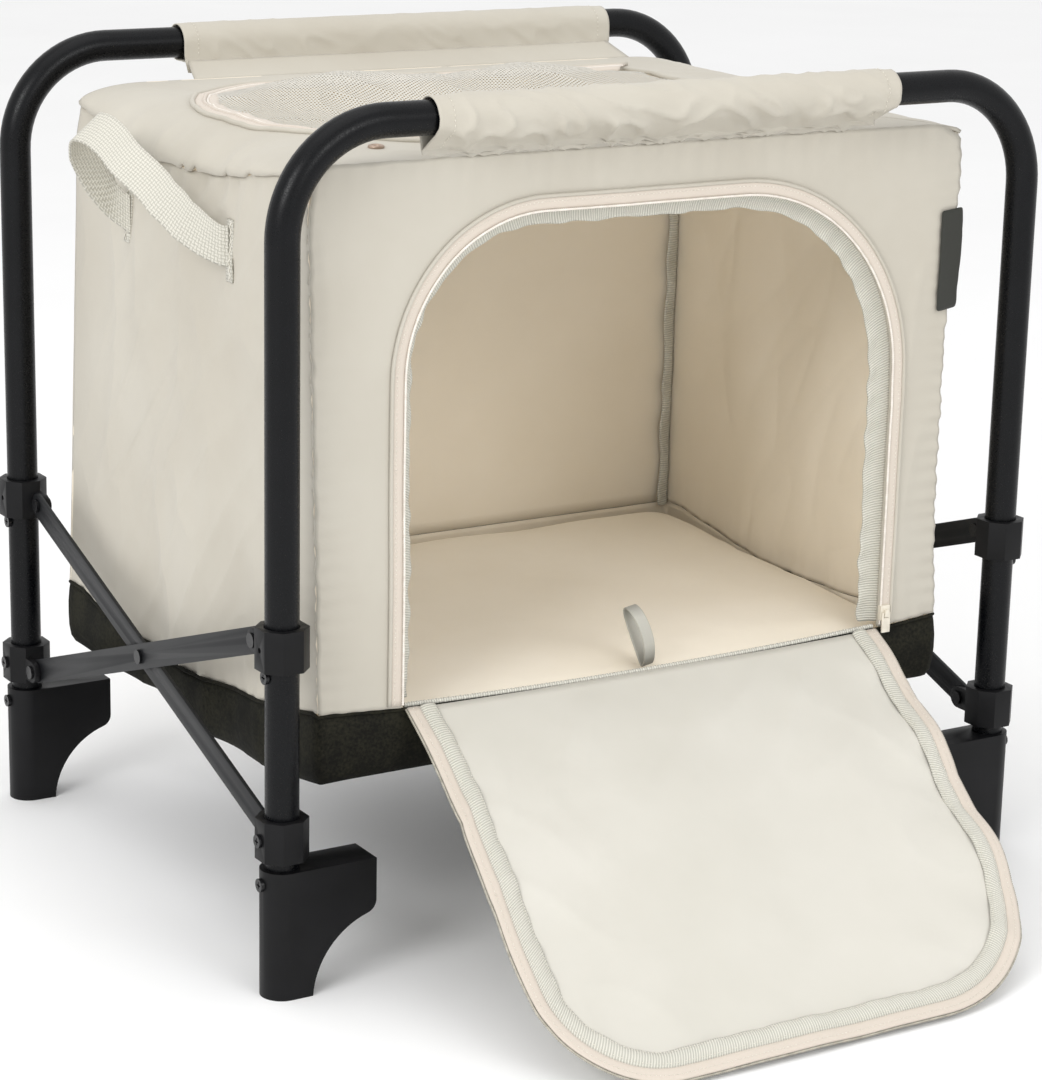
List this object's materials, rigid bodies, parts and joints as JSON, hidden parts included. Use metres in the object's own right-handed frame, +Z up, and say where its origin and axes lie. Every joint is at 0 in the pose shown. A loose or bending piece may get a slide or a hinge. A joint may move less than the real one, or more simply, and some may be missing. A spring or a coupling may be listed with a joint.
{
  "type": "raised folding pet cabin",
  "caption": "Raised soft cabin with an arched zip door and a mesh roof flap, hung between two tube hoops joined by folding scissor braces",
  "frame": {"origin": "on the floor, in the middle of the whole object's footprint with the door open", "axes": "+X across the doorway to the right, +Y from the door to the back, +Z up"},
  "size_m": [0.7114, 0.769, 0.6473],
  "materials": {
    "tube": "satin black powder coat",
    "moulded": "matte dark grey moulded plastic",
    "fastener": "gloss black",
    "flat_bar": "satin dark grey powder coat",
    "cloth": "cream plain-weave polyester over thin padding",
    "door_cloth": "cream plain-weave polyester over thin padding",
    "pad": "cream plain-weave polyester over foam",
    "base_cloth": "dark olive coarse weave",
    "board": "stiff board",
    "zip_tape": "pale pink-cream zip tape with white coil",
    "ribbon": "pale ribbed ribbon",
    "elastic": "light grey ribbed elastic",
    "netting": "cream mesh with round holes",
    "webbing": "cream basket-weave webbing",
    "tag": "blank dark woven tag",
    "eyelet": "brownish ring",
    "slider": "cream enamel"
  },
  "bodies": {
    "rear_frame": {"rear_hoop": "tube", "rear_left_foot": "moulded", "rear_right_foot": "moulded", "rear_left_lower_collar": "moulded", "rear_right_lower_collar": "moulded", "rear_frame_screws": "fastener", "rear_pivot_rivets": "fastener", "back_panel": "cloth", "rear_sleeve": "cloth", "left_wall": "cloth", "right_wall": "cloth", "roof_panel": "cloth", "roof_piping": "zip_tape", "roof_eyelet": "eyelet", "base_tub": "base_cloth", "base_board": "board", "floor_pad": "pad", "left_handle": "webbing", "right_handle": "webbing"},
    "front_frame": {"front_hoop": "tube", "front_left_foot": "moulded", "front_right_foot": "moulded", "front_left_lower_collar": "moulded", "front_right_lower_collar": "moulded", "front_frame_screws": "fastener", "front_pivot_rivets": "fastener", "front_panel": "cloth", "front_sleeve": "cloth", "doorway_zip": "zip_tape", "doorway_binding": "ribbon", "sill_seam": "ribbon", "sill_loop": "elastic", "side_tag": "tag"},
    "left_outer_brace": {"left_outer_brace": "flat_bar", "left_centre_rivet": "fastener"},
    "left_inner_brace": {"left_inner_brace": "flat_bar"},
    "right_outer_brace": {"right_outer_brace": "flat_bar", "right_centre_rivet": "fastener"},
    "right_inner_brace": {"right_inner_brace": "flat_bar"},
    "rear_left_upper_collar": {"rear_left_upper_collar": "moulded", "rear_left_upper_rivet": "fastener"},
    "rear_right_upper_collar": {"rear_right_upper_collar": "moulded", "rear_right_upper_rivet": "fastener"},
    "front_left_upper_collar": {"front_left_upper_collar": "moulded", "front_left_upper_rivet": "fastener"},
    "front_right_upper_collar": {"front_right_upper_collar": "moulded", "front_right_upper_rivet": "fastener"},
    "door": {"door_panel": "door_cloth", "door_zip": "zip_tape", "door_binding": "ribbon"},
    "zip_slider": {"zip_slider": "slider"},
    "zip_pull": {"zip_pull": "slider"},
    "roof_flap": {"roof_mesh": "netting", "roof_mesh_binding": "zip_tape"}
  },
  "joints": [
    {"name": "fold", "type": "hinge", "parent": "rear_frame", "child": "left_outer_brace", "pos_m": [-0.326, 0.33651, 0.119], "axis": [-1, 0, 0], "range_deg": [0, 48], "deforming": ["left_wall", "right_wall", "roof_panel", "roof_piping", "roof_eyelet", "base_tub", "base_board", "floor_pad", "left_handle", "right_handle", "roof_mesh", "roof_mesh_binding"]},
    {"name": "left_cross_pivot", "type": "hinge", "parent": "left_outer_brace", "child": "left_inner_brace", "pos_m": [-0.326, 0.12951, 0.1905], "axis": [-1, 0, 0], "range_deg": [-96, 0]},
    {"name": "front_left_pivot", "type": "hinge", "parent": "left_inner_brace", "child": "front_frame", "pos_m": [-0.326, -0.07749, 0.119], "axis": [-1, 0, 0], "range_deg": [0, 48]},
    {"name": "rear_left_collar_pivot", "type": "hinge", "parent": "left_inner_brace", "child": "rear_left_upper_collar", "pos_m": [-0.326, 0.33651, 0.262], "axis": [-1, 0, 0], "range_deg": [0, 48]},
    {"name": "front_left_collar_pivot", "type": "hinge", "parent": "left_outer_brace", "child": "front_left_upper_collar", "pos_m": [-0.326, -0.07749, 0.262], "axis": [-1, 0, 0], "range_deg": [-48, 0]},
    {"name": "rear_right_pivot", "type": "hinge", "parent": "rear_frame", "child": "right_outer_brace", "pos_m": [0.326, 0.33651, 0.119], "axis": [-1, 0, 0], "range_deg": [0, 48]},
    {"name": "right_cross_pivot", "type": "hinge", "parent": "right_outer_brace", "child": "right_inner_brace", "pos_m": [0.326, 0.12951, 0.1905], "axis": [-1, 0, 0], "range_deg": [-96, 0]},
    {"name": "rear_right_collar_pivot", "type": "hinge", "parent": "right_inner_brace", "child": "rear_right_upper_collar", "pos_m": [0.326, 0.33651, 0.262], "axis": [-1, 0, 0], "range_deg": [0, 48]},
    {"name": "front_right_collar_pivot", "type": "hinge", "parent": "right_outer_brace", "child": "front_right_upper_collar", "pos_m": [0.326, -0.07749, 0.262], "axis": [-1, 0, 0], "range_deg": [-48, 0]},
    {"name": "door_hinge", "type": "hinge", "parent": "front_frame", "child": "door", "pos_m": [0, -0.08749, 0.1965], "axis": [-1, 0, 0], "range_deg": [0, 123.3]},
    {"name": "zip_slide", "type": "slide", "parent": "front_frame", "child": "zip_slider", "axis": [0, 0, 1], "range_m": [0, 0.19]},
    {"name": "pull_swing", "type": "hinge", "parent": "zip_slider", "child": "zip_pull", "pos_m": [0.223, -0.09609, 0.21], "axis": [-1, 0, 0], "range_deg": [0, 150]},
    {"name": "roof_flap_hinge", "type": "hinge", "parent": "rear_frame", "child": "roof_flap", "pos_m": [0.19, 0.11651, 0.6034], "axis": [0, 1, 0], "range_deg": [0, 150]}
  ],
  "couplings": [
    {"joint": "left_cross_pivot", "follows": "fold", "ratio": -2},
    {"joint": "front_left_pivot", "follows": "fold", "ratio": 1},
    {"joint": "rear_left_collar_pivot", "follows": "fold", "ratio": 1},
    {"joint": "front_left_collar_pivot", "follows": "fold", "ratio": -1},
    {"joint": "rear_right_pivot", "follows": "fold", "ratio": 1},
    {"joint": "right_cross_pivot", "follows": "fold", "ratio": -2},
    {"joint": "rear_right_collar_pivot", "follows": "fold", "ratio": 1},
    {"joint": "front_right_collar_pivot", "follows": "fold", "ratio": -1}
  ]
}
